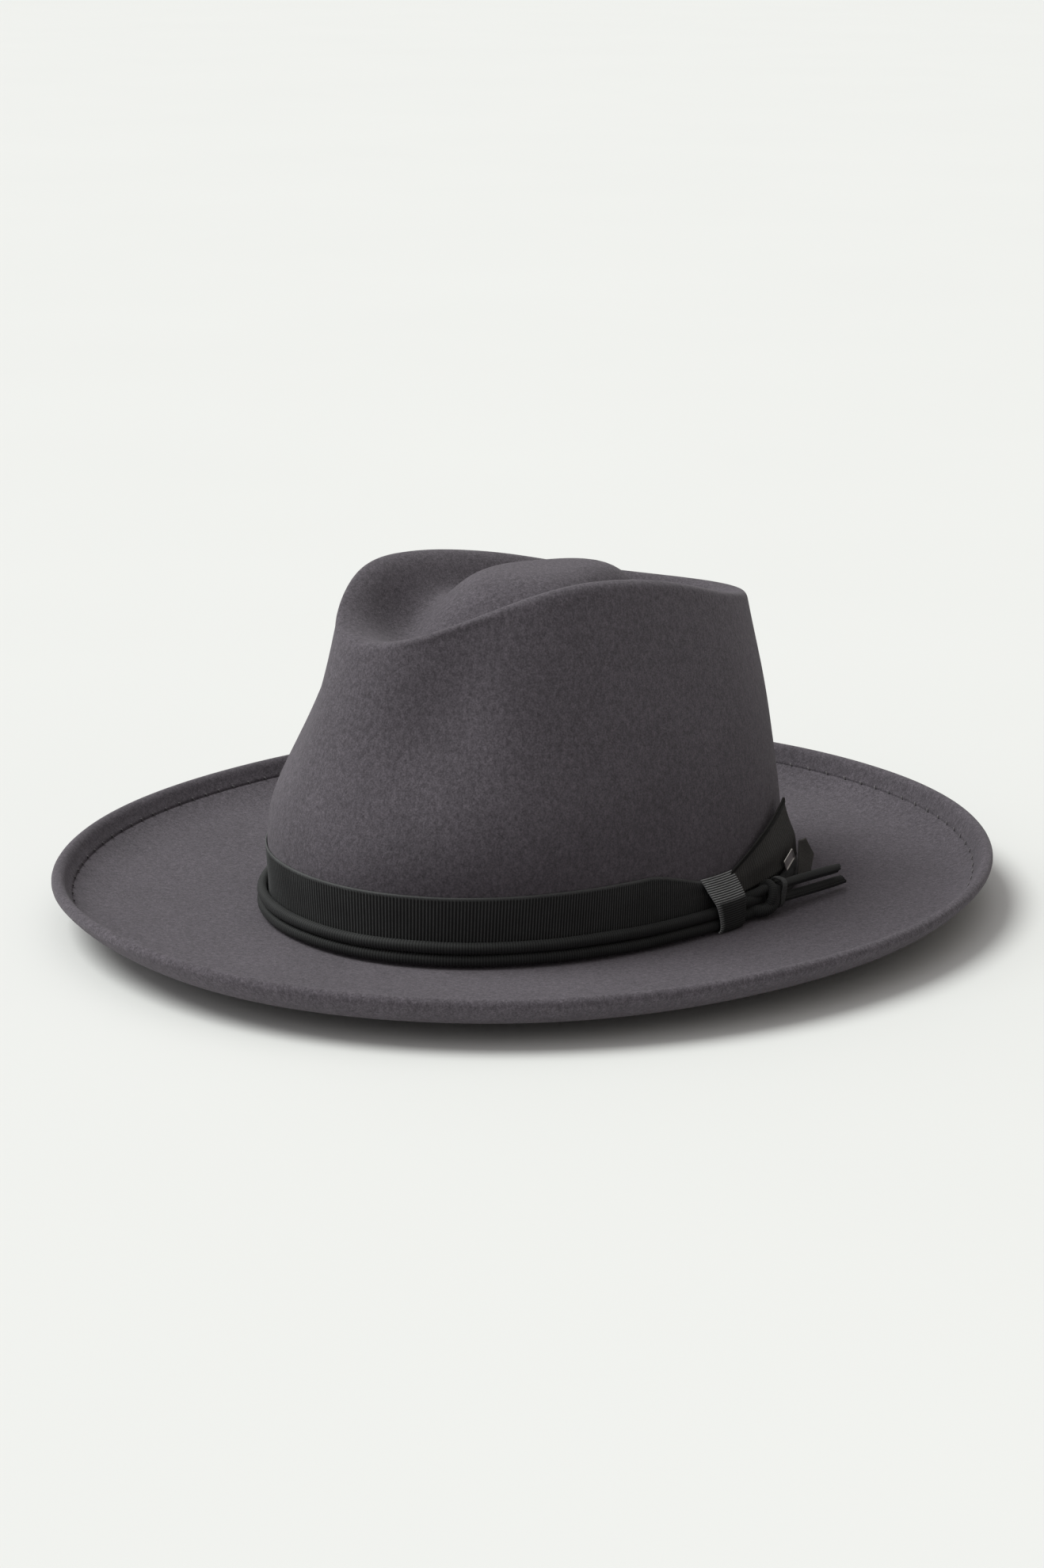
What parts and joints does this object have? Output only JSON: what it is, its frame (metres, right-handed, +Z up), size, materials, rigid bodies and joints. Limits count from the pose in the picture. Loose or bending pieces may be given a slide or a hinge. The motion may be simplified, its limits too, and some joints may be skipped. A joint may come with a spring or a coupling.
{
  "type": "fedora hat",
  "caption": "Wide-brim felt fedora with a pinched teardrop crown, curled and overwelted brim, grosgrain band with rolled cords, and a side bow with loose cord ends.",
  "frame": {"origin": "centre of the brim's outline, on the plane that the hat rests on", "axes": "+Z up through the crown, -Y to the front of the hat, +X to the wearer's left, the bow side"},
  "size_m": [0.3267, 0.3662, 0.1318],
  "materials": {
    "felt": "wool felt with a short soft nap",
    "ribbon": "matt ribbed grosgrain ribbon",
    "tag_metal": "small blank metal tag, satin",
    "leather": "thin dyed leather sweatband",
    "satin": "woven satin lining",
    "thread": "twisted sewing thread"
  },
  "bodies": {
    "hat": {"felt_body": "felt", "hat_band": "ribbon", "cord_lower": "ribbon", "cord_upper": "ribbon", "bow_wrap": "ribbon", "bow_wing": "ribbon", "metal_tag": "tag_metal", "cord_knot": "ribbon", "knot_loop": "ribbon", "sweatband": "leather", "sweatband_reed": "ribbon", "sweatband_bow": "ribbon", "size_tab": "satin", "lining_side": "satin", "lining_tip": "satin", "welt_stitches": "thread", "sweatband_stitches": "thread"},
    "ribbon_tail": {"ribbon_tail": "ribbon"},
    "cord_end_upper": {"cord_end_upper": "ribbon"},
    "cord_end_lower": {"cord_end_lower": "ribbon"}
  },
  "joints": [
    {"name": "upper_cord_swing", "type": "hinge", "parent": "hat", "child": "cord_end_upper", "pos_m": [0.0794, 0.0557, 0.0106], "axis": [0, 0, 1], "range_deg": [-25, 10], "stiffness_Nm_per_rad": 0.004},
    {"name": "lower_cord_swing", "type": "hinge", "parent": "hat", "child": "cord_end_lower", "pos_m": [0.0794, 0.0557, 0.0106], "axis": [0, 0, 1], "range_deg": [-25, 10], "stiffness_Nm_per_rad": 0.004},
    {"name": "tail_lift", "type": "hinge", "parent": "hat", "child": "ribbon_tail", "pos_m": [0.06333, 0.08179, 0.0085], "axis": [0, 0, 1], "range_deg": [-30, 4], "stiffness_Nm_per_rad": 0.002}
  ]
}
